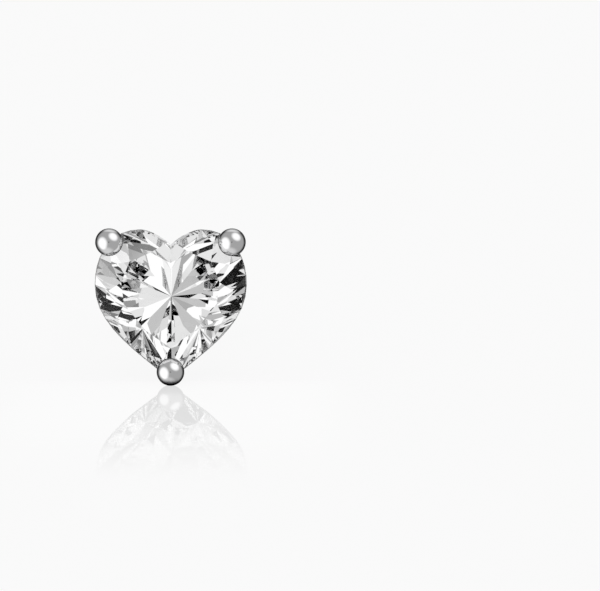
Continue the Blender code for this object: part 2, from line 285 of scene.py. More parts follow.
class Tree:
    """Adds and joins the nodes of one node tree."""

    def __init__(self, nodes: bpy.types.NodeTree) -> None:
        """Starts on an empty tree."""
        self.nodes = nodes
        self.nodes.nodes.clear()

    def add(self, kind: str, inputs: dict | None = None, **settings: object) -> bpy.types.Node:
        """Adds one node.

        Args:
            kind: The node's type.
            inputs: For an input's name or number, the socket that feeds it or its own value.
            **settings: The node's own properties.

        Returns:
            The node.
        """
        node = self.nodes.nodes.new(kind)
        for name, value in settings.items():
            setattr(node, name, value)
        for name, value in (inputs or {}).items():
            if isinstance(value, bpy.types.NodeSocket):
                self.nodes.links.new(value, node.inputs[name])
            else:
                node.inputs[name].default_value = value
        return node

    def maths(self, operation: str, first: object, second: object = 0.0) -> bpy.types.NodeSocket:
        """One sum, and the socket with its result."""
        return self.add("ShaderNodeMath", {0: first, 1: second}, operation=operation).outputs[0]

    def blend(self, share: object, low: object, high: object) -> bpy.types.NodeSocket:
        """A number between low and high by a share, and the socket with it."""
        return self.add("ShaderNodeMix", {0: share, 2: low, 3: high}, data_type="FLOAT").outputs[0]

    def ramp(
        self, value: object, low: float, high: float, from_low: float, from_high: float
    ) -> bpy.types.NodeSocket:
        """A smooth step of a value between two numbers, and the socket with it."""
        return self.add(
            "ShaderNodeMapRange",
            {"Value": value, "From Min": low, "From Max": high, "To Min": from_low, "To Max": from_high},
            interpolation_type="SMOOTHSTEP",
        ).outputs[0]

    def noise(
        self, place: bpy.types.NodeSocket, scale: float, detail: float, roughness: float = 0.5
    ) -> bpy.types.NodeSocket:
        """A noise pattern, and the socket with it."""
        values = {"Vector": place, "Scale": scale, "Detail": detail, "Roughness": roughness}
        return self.add("ShaderNodeTexNoise", values).outputs["Fac"]

    def close(self, geometry: bpy.types.NodeSocket, finish: bpy.types.NodeSocket) -> None:
        """Ends a Geometry Nodes tree with its instances realized and dressed."""
        whole = self.add("GeometryNodeRealizeInstances", {"Geometry": geometry})
        dressed = self.add("GeometryNodeSetMaterial", {"Geometry": whole.outputs[0], "Material": finish})
        self.add("NodeGroupOutput", {"Geometry": dressed.outputs[0]})


def open_material(name: str) -> tuple[bpy.types.Material, Tree, bpy.types.NodeSocket]:
    """Starts a material, and gives its tree and the socket of a point's place in its object."""
    material = bpy.data.materials.new(name)
    material.use_nodes = True
    tree = Tree(material.node_tree)
    return material, tree, tree.add("ShaderNodeTexCoord").outputs["Object"]


def open_group(name: str, inputs: dict[str, str]) -> tuple[bpy.types.GeometryNodeTree, Tree]:
    """Starts a Geometry Nodes tree that takes and gives geometry.

    Args:
        name: The tree's name.
        inputs: For the name of each further input, its kind of socket.

    Returns:
        The tree's data, and the tree that adds its nodes.
    """
    group = bpy.data.node_groups.new(name, "GeometryNodeTree")
    for socket, kind in {"Geometry": "Geometry", **inputs}.items():
        group.interface.new_socket(socket, in_out="INPUT", socket_type=f"NodeSocket{kind}")
    group.interface.new_socket("Geometry", in_out="OUTPUT", socket_type="NodeSocketGeometry")
    return group, Tree(group)


@dataclass(frozen=True)
class Crystal:
    """Clear cut stone: polished facets, a finely ground girdle greyed with painted shade, and faint polishing
    waves.

    Attributes:
        index: Its refractive index.
        sheen: How strongly its outside reflects.
        girdle_thickness: The height of the ground band round its widest place.
        girdle_lip: How far the grinding reaches onto the facets beside it.
        lip_core: The share of the lip that is ground in full.
        girdle_roughness: How matt that band is, in its smooth and in its coarse grains.
        girdle_shade: How much light the ground band lets through; its grey is painted shade.
        grain_scale: Grains of the grinding a metre.
        wave_scale: Polishing waves a metre.
        wave_depth: Their height.
    """

    index: float = 2.18
    sheen: float = 0.12
    girdle_thickness: float = 0.12 * MM
    girdle_lip: float = 0.035 * MM
    lip_core: float = 0.6
    girdle_roughness: tuple = (0.22, 0.352)
    girdle_shade: float = 0.35
    grain_scale: float = 26000.0
    wave_scale: float = 900.0
    wave_depth: float = 0.00001 * MM

    def material(self, lean: Lean) -> bpy.types.Material:
        """Builds the stone's material.

        Args:
            lean: Where the stone's axes lie.

        Returns:
            The material.
        """
        material, tree, place = open_material(Slot.CRYSTAL.value)
        out = lean.axes[2]
        height = tree.add("ShaderNodeVectorMath", {0: place, 1: tuple(out)}, operation="DOT_PRODUCT")
        from_girdle = tree.maths("SUBTRACT", height.outputs["Value"], float(lean.middle @ out))
        from_girdle = tree.maths("ABSOLUTE", from_girdle)
        half = self.girdle_thickness / 2
        core = self.lip_core * self.girdle_lip
        ground = tree.ramp(from_girdle, half + core, half + self.girdle_lip, 1.0, 0.0)
        grain = tree.noise(place, self.grain_scale, detail=3.0)
        roughness = tree.maths("MULTIPLY", ground, tree.blend(grain, *self.girdle_roughness))
        # Painted shade: the ground band is greyed so the girdle shows as a thin grey outline.
        clear = tree.blend(ground, 1.0, self.girdle_shade)
        tint = tree.add("ShaderNodeCombineColor", dict.fromkeys(("Red", "Green", "Blue"), clear))
        wave = tree.noise(place, self.wave_scale, detail=1.0, roughness=0.3)
        bump = tree.add("ShaderNodeBump", {"Strength": 1.0, "Distance": self.wave_depth, "Height": wave})
        shader = tree.add(
            "ShaderNodeBsdfPrincipled",
            {
                "Base Color": tint.outputs["Color"],
                "IOR": self.index,
                "Transmission Weight": 1.0,
                "Specular Tint": (self.sheen, self.sheen, self.sheen, 1.0),
                "Roughness": roughness,
                "Normal": bump.outputs["Normal"],
            },
        )
        tree.add("ShaderNodeOutputMaterial", {"Surface": shader.outputs[0]})
        return material


@dataclass(frozen=True)
class Silver:
    """Rhodium-plated silver: cool and bright, with polishing swirls, hairline scratches and painted shade in
    its crevices and where it nears another surface.

    Attributes:
        polish: How finely it is polished.
        name: The last word of its material's name.
        bright: Its colour where no shade is painted.
        painted_shade: The colour painted where another surface closes it in, in crevices and at contacts, as
            shade.
        edge: How it tints what it mirrors at a grazing angle; darker than the metal, it paints a shaded rim.
        shade_range: How open a place is where the painted shade is full and where it has gone.
        shade_reach: How near another surface has to be to close a place in.
        cloud_scale: Patches of haze a metre.
        cloud_range: The values of their noise between which the haze grows.
        haze: The haze's thinnest and thickest, as shares of the polish's roughness.
        hair_scale: Hairline scratches a metre.
        hair_stretch: How much longer than wide they are.
        hair_turn: Which way they run, in radians.
        pit_scale: Pits a metre.
        pit_share: How much of the relief is pits.
        relief_depth: The height of the relief.
    """

    polish: Polish
    name: str
    bright: tuple = (0.90, 0.90, 0.905, 1.0)
    painted_shade: tuple = (0.18, 0.18, 0.185, 1.0)
    edge: tuple = (0.55, 0.55, 0.56, 1.0)
    shade_range: tuple = (0.35, 0.80)
    shade_reach: float = 0.45 * MM
    cloud_scale: float = 1400.0
    cloud_range: tuple = (0.35, 0.75)
    haze: tuple = (0.85, 1.5)
    hair_scale: float = 3800.0
    hair_stretch: float = 14.0
    hair_turn: tuple = (0.3, 0.7, 0.5)
    pit_scale: float = 9000.0
    pit_share: float = 0.35
    relief_depth: float = 0.0015 * MM

    def material(self) -> bpy.types.Material:
        """Builds the silver's material."""
        material, tree, place = open_material(f"{Slot.SILVER.value}_{self.name}")
        roughness, scratch = self.polish.value
        cloud = tree.noise(place, self.cloud_scale, detail=4.0)
        haze = tree.ramp(cloud, *self.cloud_range, *(share * roughness for share in self.haze))
        stretch = (1.0, self.hair_stretch, 1.0)
        along = tree.add("ShaderNodeMapping", {"Vector": place, "Rotation": self.hair_turn, "Scale": stretch})
        hairs = tree.noise(along.outputs[0], self.hair_scale, detail=5.0, roughness=0.7)
        pits = tree.noise(place, self.pit_scale, detail=2.0)
        relief = tree.blend(self.pit_share, hairs, pits)
        bump = tree.add(
            "ShaderNodeBump", {"Strength": scratch, "Distance": self.relief_depth, "Height": relief}
        )
        # Painted shade: the colour darkens where another surface closes the place in, as a contact shadow
        # would.
        openness = tree.add("ShaderNodeAmbientOcclusion", {"Distance": self.shade_reach}, samples=4)
        unshaded = tree.ramp(openness.outputs["AO"], *self.shade_range, 0.0, 1.0)
        colours = {0: unshaded, 6: self.painted_shade, 7: self.bright}
        colour = tree.add("ShaderNodeMix", colours, data_type="RGBA").outputs[2]
        shader = tree.add(
            "ShaderNodeBsdfPrincipled",
            {
                "Base Color": colour,
                "Metallic": 1.0,
                # A dark edge tint paints shade onto the rim of what the silver mirrors.
                "Specular Tint": self.edge,
                "Roughness": haze,
                "Normal": bump.outputs["Normal"],
            },
        )
        tree.add("ShaderNodeOutputMaterial", {"Surface": shader.outputs[0]})
        return material


@dataclass(frozen=True)
class Rod:
    """A round wire along a line of points, or a ball where it has one point."""

    rows: np.ndarray
    radius: float
    closed: bool = False

    def nearest(self, points: np.ndarray) -> np.ndarray:
        """The nearest place on the wire's middle line to each point."""
        if len(self.rows) == 1:
            return np.broadcast_to(self.rows[0], points.shape)
        ends = np.roll(self.rows, -1, axis=0)
        starts, ends = (self.rows, ends) if self.closed else (self.rows[:-1], ends[:-1])
        along = ends - starts
        lengths = (along**2).sum(axis=1)
        found = np.empty_like(points)
        for first in range(0, len(points), POINTS_AT_ONCE):
            some = points[first : first + POINTS_AT_ONCE, None]
            shares = np.clip(((some - starts) * along).sum(axis=2) / lengths, 0.0, 1.0)
            feet = starts + shares[..., None] * along
            best = ((some - feet) ** 2).sum(axis=2).argmin(axis=1)
            found[first : first + POINTS_AT_ONCE] = feet[np.arange(len(best)), best]
        return found


@dataclass(frozen=True)
class Disc:
    """A round plate with rounded edges, about the z axis."""

    reach: float
    low: float
    high: float
    radius: float

    def nearest(self, points: np.ndarray) -> np.ndarray:
        """The nearest place on the plate's core to each point."""
        spread = np.linalg.norm(points[:, :2], axis=1)
        shrink = np.minimum(1.0, (self.reach - self.radius) / np.maximum(spread, TINY))
        flat = points[:, :2] * shrink[:, None]
        height = np.clip(points[:, 2], self.low + self.radius, self.high - self.radius)
        return np.column_stack([flat, height])


@dataclass(frozen=True)
class Soldered:
    """Metal shapes that flow into one another where they touch.

    Attributes:
        shapes: The wires, balls and plates.
        solder: How far the solder reaches.
        least_slope: The square of the slope under which a step gets no longer.
    """

    shapes: tuple
    solder: float
    least_slope: float = 0.3

    def depth(self, points: np.ndarray) -> tuple[np.ndarray, np.ndarray]:
        """How far points lie outside the soldered surface.

        Args:
            points: The points, one a row.

        Returns:
            The distances, and the ways in which they grow.
        """
        total = slope = None
        for shape in self.shapes:
            reach = points - shape.nearest(points)
            length = np.maximum(np.linalg.norm(reach, axis=1), TINY)
            distance = length - shape.radius
            way = reach / length[:, None]
            if total is None:
                total, slope = distance, way
                continue
            share = np.clip(0.5 + 0.5 * (total - distance) / self.solder, 0.0, 1.0)
            total = total + (distance - total) * share - self.solder * share * (1.0 - share)
            slope = slope + (way - slope) * share[:, None]
        return total, slope

    def settle(self, points: np.ndarray, rounds: int = 5) -> np.ndarray:
        """Moves points onto the soldered surface."""
        for _ in range(rounds):
            distance, slope = self.depth(points)
            steep = np.maximum((slope**2).sum(axis=1), self.least_slope)
            points = points - slope * (distance / steep)[:, None]
        return points


@dataclass
class Stone:
    """The heart-cut stone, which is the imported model's own solid.

    Attributes:
        crown_height: From the girdle to the table.
        crystal: Its finish.
        seat_clearance: The gap between it and the metal.
        facet_degrees: The angle under which two faces are one facet.
        twin_share: How alike the facets at a corner have to be to count as one.
    """

    crown_height: float = 0.84 * MM
    crystal: Crystal = field(default_factory=Crystal)
    seat_clearance: float = 0.05 * MM
    facet_degrees: float = 0.2
    twin_share: float = 0.05

    @property
    def table_height(self) -> float:
        """From the girdle's middle to the table."""
        return self.crystal.girdle_thickness / 2 + self.crown_height

    def build(self, frame: dict, lean: Lean) -> bpy.types.Object:
        """Dresses the stone.

        Args:
            lean: Where the stone's axes lie.

        Returns:
            The dressed object.
        """
        node = frame["nodes"]["stone"]
        material = self.crystal.material(lean)
        for slot in node.material_slots:
            slot.material = material
        return node

    def seat(self, frame: dict, lean: Lean) -> bpy.types.Object:
        """Makes the stone's shape, grown by the clearance, in the earring's own axes and in millimetres.

        Args:
            lean: Where the stone's axes lie.

        Returns:
            The cutter.
        """
        bm = bmesh.new()
        bm.from_mesh(frame["nodes"]["stone"].data)
        bmesh.ops.remove_doubles(bm, verts=bm.verts, dist=WELD)
        flat = math.radians(self.facet_degrees)
        bmesh.ops.dissolve_limit(bm, angle_limit=flat, verts=bm.verts, edges=bm.edges)
        bmesh.ops.recalc_face_normals(bm, faces=bm.faces)
        moves = []
        for vert in bm.verts:
            normals = np.array([face.normal for face in vert.link_faces])
            gaps = np.full(len(normals), self.seat_clearance)
            moves.append(np.linalg.lstsq(normals, gaps, rcond=self.twin_share)[0])
        points = np.array([vert.co for vert in bm.verts]) + np.array(moves)
        points = (points - lean.middle) @ lean.axes.T / MM
        for vert, point in zip(bm.verts, points):
            vert.co = point
        bmesh.ops.triangulate(bm, faces=bm.faces)
        mesh = bpy.data.meshes.new("seat")
        bm.to_mesh(mesh)
        bm.free()
        return add_object("seat", mesh)


@dataclass
class HeartLine:
    """The heart's outline, which the gallery rail follows.

    Attributes:
        width: The heart's width.
        lobe_rise: How high the lobes stand over the stone's axis.
        cleft_rise: How high the cleft lies.
        point_drop: How low the two sides would meet.
        tip_drop: Where the blunt tip cuts them.
        lobe_top_share: Where the lobe is highest, as a share of the half width.
        widest_share: Where the heart is widest, as a share of the lobe's rise.
        handles: The reach of the curves' handles, as shares of the half width.
        cleft_slope: The way in which a lobe leaves the cleft, in degrees.
        point_slope: The way in which a side leaves the point, in degrees.
    """

    width: float = 6.0
    lobe_rise: float = 2.64
    cleft_rise: float = 2.02
    point_drop: float = 3.30
    tip_drop: float = 3.12
    lobe_top_share: float = 0.40
    widest_share: float = 0.18
    handles: tuple = (0.22, 0.07, 0.42, 0.36, 0.51, 0.69)
    cleft_slope: float = 44.6
    point_slope: float = 51.1

    def rows(self, steps: int) -> np.ndarray:
        """The closed outline, once round, in millimetres.

        Args:
            steps: The steps of each of its curves.

        Returns:
            Rows of x and y.
        """
        half = self.width / 2
        handles = [share * half for share in self.handles]
        cleft_out, lobe_in, lobe_out, side_up, side_down, point_out = handles
        cleft = np.array([0.0, self.cleft_rise])
        lobe = np.array([self.lobe_top_share * half, self.lobe_rise])
        side = np.array([half, self.widest_share * self.lobe_rise])
        point = np.array([0.0, -self.point_drop])
        rising = math.radians(self.cleft_slope)
        falling = math.radians(self.point_slope)
        from_cleft = cleft + cleft_out * np.array([math.cos(rising), math.sin(rising)])
        from_point = point + point_out * np.array([math.sin(falling), math.cos(falling)])
        rows = np.vstack(
            [
                cubic(cleft, from_cleft, lobe - (lobe_in, 0.0), lobe, steps),
                cubic(lobe, lobe + (lobe_out, 0.0), side + (0.0, side_up), side, steps),
                cubic(side, side - (0.0, side_down), from_point, point, steps),
            ]
        )
        rows = rows[rows[:, 1] > -self.tip_drop]
        return np.vstack([rows, rows[1:][::-1] * (-1.0, 1.0)])


@dataclass
class Setting:
    """The silver basket: three ball-tipped prongs, the gallery rail, the base plate and the post.

    Its sizes are in millimetres and stand as they do in the solid that it replaces.
    """

    ball_diameter: float = 1.09
    ball_rise: float = 0.62
    upper_ball_across: float = 2.42
    upper_ball_up: float = 2.13
    tip_ball_drop: float = 2.98
    prong_diameter: float = 0.62
    prong_bend_depth: float = 0.10
    gallery_diameter: float = 0.50
    gallery_depth: float = 1.30
    gallery_share: float = 0.78
    base_diameter: float = 2.60
    base_thickness: float = 0.50
    base_edge: float = 0.08
    base_back: float = -3.57
    post_diameter: float = 0.85
    post_length: float = 9.5
    post_fillet: float = 0.15
    post_end_chamfer: float = 0.20
    notch_width: float = 0.50
    notch_depth: float = 0.10
    notch_from_end: float = 1.50
    solder: float = 0.22
    sunk: float = 0.004
    grain: float = 0.04
    crude_inset: float = 0.05
    wire_sides: int = 20
    ball_segments: int = 72
    plate_segments: int = 48
    post_segments: int = 96

    def ball_spots(self) -> np.ndarray:
        """The middles of the three ball tips."""
        across, up, rise = self.upper_ball_across, self.upper_ball_up, self.ball_rise
        return np.array([(across, up, rise), (-across, up, rise), (0.0, -self.tip_ball_drop, rise)])

    def prong_rows(self, spot: np.ndarray, steps: int = 40) -> np.ndarray:
        """A prong's middle line from inside the base plate, past the girdle and in to its ball.

        Args:
            spot: The middle of the ball.
            steps: The steps of its bend.

        Returns:
            The line's points, one a row.
        """
        reach = np.linalg.norm(spot[:2])
        foot_reach = (self.base_diameter - self.prong_diameter) / 2
        foot = np.array([foot_reach, self.base_back + self.base_thickness / 2])
        shoulder = np.array([reach, -self.prong_bend_depth])
        top = np.array([reach, self.ball_rise])
        bend = shoulder + (shoulder - foot) * self.ball_rise / (shoulder - foot)[1] / 2
        rows = np.vstack([foot, cubic(shoulder, bend, top, top, steps), top])
        outward = spot[:2] / reach
        return np.column_stack([rows[:, :1] * outward, rows[:, 1]])

    def gallery_rows(self, steps: int = 22) -> np.ndarray:
        """The gallery rail's middle line, once round."""
        heart = self.gallery_share * HeartLine().rows(steps)
        return np.column_stack([heart, np.full(len(heart), -self.gallery_depth)])

    def wires(self) -> list[tuple[np.ndarray, float, bool]]:
        """Each wire's middle line, its radius, and whether it closes on itself."""
        prongs = [(self.prong_rows(spot), self.prong_diameter / 2, False) for spot in self.ball_spots()]
        return [*prongs, (self.gallery_rows(), self.gallery_diameter / 2, True)]

    def soldered(self) -> Soldered:
        """The wires as one soldered surface that flows into the balls and the plate."""
        rods = [Rod(rows, radius, closed) for rows, radius, closed in self.wires()]
        balls = [Rod(spot[None], self.ball_diameter / 2 - self.sunk) for spot in self.ball_spots()]
        plate = Disc(
            self.base_diameter / 2 - self.sunk,
            self.base_back + self.sunk,
            self.base_back + self.base_thickness - self.sunk,
            self.base_edge,
        )
        return Soldered((plate, *rods, *balls), self.solder)

    def wire_tree(self) -> bpy.types.GeometryNodeTree:
        """The Geometry Nodes tree that lays a round wire along curves."""
        group, tree = open_group("round_wire", {"Sides": "Int", "Finish": "Material"})
        given = tree.add("NodeGroupInput").outputs
        ring = tree.add("GeometryNodeCurvePrimitiveCircle", {"Resolution": given["Sides"], "Radius": 1.0})
        thickness = tree.add("GeometryNodeInputRadius").outputs[0]
        lines = {"Curve": given["Geometry"], "Profile Curve": ring.outputs["Curve"]}
        swept = tree.add("GeometryNodeCurveToMesh", {**lines, "Scale": thickness, "Fill Caps": True})
        tree.close(swept.outputs[0], given["Finish"])
        return group

    def ball_tree(self) -> bpy.types.GeometryNodeTree:
        """The Geometry Nodes tree that sets a ball on each point."""
        group, tree = open_group("ball_tips", {"Radius": "Float", "Segments": "Int", "Finish": "Material"})
        given = tree.add("NodeGroupInput").outputs
        rings = tree.maths("DIVIDE", given["Segments"], 2.0)
        sizes = {"Segments": given["Segments"], "Rings": rings, "Radius": given["Radius"]}
        ball = tree.add("GeometryNodeMeshUVSphere", sizes)
        balls = tree.add(
            "GeometryNodeInstanceOnPoints", {"Points": given["Geometry"], "Instance": ball.outputs["Mesh"]}
        )
        tree.close(balls.outputs[0], given["Finish"])
        return group

    def run_tree(
        self, obj: bpy.types.Object, group: bpy.types.GeometryNodeTree, values: dict
    ) -> bpy.types.Object:
        """Runs a Geometry Nodes tree on an object and keeps its result as a plain mesh.

        Args:
            obj: The object.
            group: The tree.
            values: For the name of a tree's input, its value.

        Returns:
            The plain object.
        """
        modifier = obj.modifiers.new(group.name, "NODES")
        modifier.node_group = group
        for socket in group.interface.items_tree:
            if socket.item_type == "SOCKET" and socket.in_out == "INPUT" and socket.name in values:
                modifier[socket.identifier] = values[socket.name]
        return settle(obj)

    def bare_wires(self, silver: bpy.types.Material) -> bpy.types.Object:
        """The prongs and the rail as plain round wires."""
        curves = bpy.data.curves.new("basket", "CURVE")
        curves.dimensions = "3D"
        for rows, radius, closed in self.wires():
            spline = curves.splines.new("POLY")
            spline.points.add(len(rows) - 1)
            spline.points.foreach_set("co", np.column_stack([rows, np.ones(len(rows))]).ravel())
            spline.points.foreach_set("radius", np.full(len(rows), radius))
            spline.use_cyclic_u = closed
        values = {"Sides": self.wire_sides, "Finish": silver}
        return self.run_tree(add_object("basket", curves), self.wire_tree(), values)

    def plate_profile(self) -> list[tuple]:
        """The base plate's and the post's outline, from the plate's front to the post's end."""
        plate = self.base_diameter / 2
        shaft = self.post_diameter / 2
        front = self.base_back + self.base_thickness
        end = self.base_back - self.post_length
        edge = self.base_edge
        fillet = self.post_fillet
        chamfer = self.post_end_chamfer
        notch = end + self.notch_from_end
        rim = self.notch_depth / 2
        lip = self.notch_width / 2 + rim
        return [
            (0.0, front),
            *corner((plate - edge, front - edge), edge, 90.0, -90.0, 6),
            *corner((plate - edge, self.base_back + edge), edge, 0.0, -90.0, 6),
            *corner((shaft + fillet, self.base_back - fillet), fillet, 90.0, 90.0, 8),
            (shaft, notch + lip + 2 * rim),
            *corner((shaft - rim, notch + lip + rim), rim, 0.0, -60.0, 4),
            (shaft - self.notch_depth, notch + self.notch_width / 3),
            (shaft - self.notch_depth, notch - self.notch_width / 3),
            *corner((shaft - rim, notch - lip - rim), rim, 60.0, -60.0, 4),
            *corner((shaft - chamfer, end + chamfer), chamfer, 0.0, -90.0, 8),
            (0.0, end),
        ]

    def basket(self, seat: bpy.types.Object, silver: bpy.types.Material) -> bpy.types.Object:
        """The prongs and the rail with their solder, cut out where the stone sits.

        Args:
            seat: The stone's seat.
            silver: The finish.

        Returns:
            The basket, in millimetres.
        """
        back = self.base_back + self.crude_inset
        front = self.base_back + self.base_thickness - self.crude_inset
        reach = self.base_diameter / 2 - self.crude_inset
        outline = [(0.0, front), (reach, front), (reach, back), (0.0, back)]
        plate = turned("plate", outline, self.plate_segments)
        basket = join("basket", [self.bare_wires(silver), plate])
        remesh = basket.modifiers.new("even", "REMESH")
        remesh.mode = "VOXEL"
        remesh.voxel_size = self.grain
        basket = settle(basket)
        move_points(basket, self.soldered().settle(mesh_points(basket.data)))
        return cut_out(basket, seat, "MANIFOLD", silver)

    def build(
        self, seat: bpy.types.Object, lean: Lean, silver: bpy.types.Material, tips: bpy.types.Material
    ) -> list[bpy.types.Object]:
        """Builds the whole setting.

        Args:
            seat: The stone's seat, in millimetres.
            lean: Where the earring's axes lie.
            silver: The finish.
            tips: The finish of the ball tips.

        Returns:
            The basket with its post, and the ball tips.
        """
        spots = add_mesh("balls", self.ball_spots(), [])
        values = {"Radius": self.ball_diameter / 2, "Segments": self.ball_segments, "Finish": tips}
        balls = self.run_tree(spots, self.ball_tree(), values)
        post = dress(turned("post", self.plate_profile(), self.post_segments), silver)
        basket = join("setting_basket", [self.basket(seat, silver), post])
        balls = join("setting_balls", [cut_out(balls, seat, "MANIFOLD", tips)])
        basket.visible_glossy = False
        for piece in (basket, balls):
            move_points(piece, lean.place(MM * mesh_points(piece.data)))
            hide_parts("setting")
        return [basket, balls]


@dataclass
class Clutch:
    """The butterfly nut: one strip with both ends rolled in to grip the post, and a collar.

    Its sizes are in millimetres and stand as they do in the solid that it replaces.
    """

    middle: float = -8.19
    width: float = 3.9
    sheet: float = 0.24
    clearance: float = 0.06
    post_diameter: float = 0.85
    bend_radius: float = 0.74
    curl_radius: float = 0.42
    curl_turn: float = 235.0
    waist_half_height: float = 1.05
    wing_half_height: float = 1.55
    curl_half_height: float = 0.80
    collar_diameter: float = 1.80
    collar_top_diameter: float = 1.40
    collar_height: float = 0.30
    collar_lip: float = 0.07
    collar_sunk: float = 0.01
    eyelet_reach: float = 0.22
    eyelet_rise: float = 0.04
    hole_radius: float = 0.62
    drill_half_length: float = 0.40
    drill_segments: int = 48
    collar_segments: int = 72
    steps: int = 40
    edge: float = 0.06

    def wing_line(self) -> tuple[np.ndarray, int]:
        """The middle line of the right wing.

        Returns:
            Rows of x and z, and the number of the row at the wing's outer end.
        """
        inner = self.post_diameter / 2 + self.clearance + self.sheet / 2
        bend = ((self.width - self.sheet) / 2 - self.bend_radius, -self.bend_radius)
        curl = (inner + self.curl_radius, self.curl_radius - 2 * self.bend_radius)
        plate = [(x, 0.0) for x in np.linspace(0.0, bend[0], self.steps // 2)]
        outer = corner(bend, self.bend_radius, 90.0, -180.0, self.steps)[1:]
        roll = corner(curl, self.curl_radius, -90.0, -self.curl_turn, self.steps)
        return np.array([*plate, *outer, *roll]), len(plate) + self.steps // 2

    def half_heights(self, line: np.ndarray, tallest_row: int) -> np.ndarray:
        """Half the strip's height along the wing: a narrow waist, a tall wing and a rounded end."""
        along = np.append(0.0, np.cumsum(np.linalg.norm(np.diff(line, axis=0), axis=1)))
        tallest = along[tallest_row]
        rising = np.sin(np.clip(along / tallest, 0.0, 1.0) * math.pi / 2) ** 2
        falling = np.sin(np.clip((along - tallest) / (along[-1] - tallest), 0.0, 1.0) * math.pi / 2) ** 2
        return (
            self.waist_half_height
            + (self.wing_half_height - self.waist_half_height) * rising
            - (self.wing_half_height - self.curl_half_height) * falling
        )

    def strip(self, silver: bpy.types.Material) -> bpy.types.Object:
        """The rolled strip with rounded edges and its hole.

        Args:
            silver: The finish.

        Returns:
            The strip, in millimetres.
        """
        line, tallest_row = self.wing_line()
        heights = self.half_heights(line, tallest_row)
        line = np.vstack([line[1:][::-1] * (-1.0, 1.0), line])
        heights = np.concatenate([heights[1:][::-1], heights])
        along = np.gradient(line, axis=0)
        along /= np.linalg.norm(along, axis=1)[:, None]
        across = np.column_stack([-along[:, 1], along[:, 0]])
        half = self.sheet / 2
        section = []
        for face, end, start in ((1, -1, -90.0), (1, 1, 0.0), (-1, 1, 90.0), (-1, -1, 180.0)):
            section.extend(corner((face * (half - self.edge), end), self.edge, start, 90.0, 3))
        points = []
        for (x, z), (nx, nz), height in zip(line, across, heights):
            for thick, tall in section:
                side = math.copysign(1.0, tall)
                points.append((x + nx * thick, side * (height - self.edge) + tall - side, z + nz * thick))
        ring = len(section)
        last = (len(line) - 1) * ring
        faces = []
        for first in range(0, last, ring):
            for spot in range(ring):
                after = (spot + 1) % ring
                faces.append((first + spot, first + after, first + ring + after, first + ring + spot))
        faces += [tuple(range(ring)), tuple(range(last, last + ring))]
        strip = add_mesh("strip", np.array(points), faces)
        radius = self.hole_radius
        tall = self.drill_half_length
        outline = [(0.0, tall), (radius, tall), (radius, -tall), (0.0, -tall)]
        hole = turned("hole", outline, self.drill_segments)
        strip = cut_out(strip, hole, "EXACT", silver)
        bpy.data.objects.remove(hole, do_unlink=True)
        return strip

    def collar(self, silver: bpy.types.Material) -> bpy.types.Object:
        """The rounded collar round the post's hole, in millimetres."""
        bore = self.post_diameter / 2 + self.clearance
        half = self.sheet / 2
        top = half + self.collar_height
        lip = self.collar_lip
        outside = self.collar_diameter / 2
        rise = self.eyelet_rise
        outline = [
            *corner((bore + lip, top - lip), lip, 180.0, -90.0, 5),
            *corner((self.collar_top_diameter / 2 - lip, top - lip), lip, 90.0, -65.0, 5),
            (outside, half - self.collar_sunk),
            (outside, half - self.edge),
            (outside, self.edge - half),
            *corner((bore + self.eyelet_reach, -half), rise, 0.0, -90.0, 4),
            *corner((bore + lip, lip - half - rise), lip, -90.0, -90.0, 5),
        ]
        return dress(turned("collar", outline, self.collar_segments), silver)

    def build(self, lean: Lean, silver: bpy.types.Material) -> bpy.types.Object:
        """Builds the clutch.

        Args:
            lean: Where the earring's axes lie.
            silver: The finish.

        Returns:
            The clutch.
        """
        clutch = join("clutch_silver", [self.strip(silver), self.collar(silver)])
        points = mesh_points(clutch.data) + (0.0, 0.0, self.middle)
        move_points(clutch, lean.place(MM * points))
        clutch.visible_glossy = False
        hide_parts("clutch")
        return clutch


@dataclass(frozen=True)
class Card:
    """A round patch of light or shade in the studio, with a soft edge.

    Attributes:
        towards: Where it stands, in the earring's axes.
        core: The angle from its middle up to which it is full, in degrees.
        rim: The angle at which it has faded out, in degrees.
        gain: What it adds to the studio's brightness, or by what it multiplies what stands behind it.
    """

    towards: tuple
    core: float
    rim: float
    gain: float


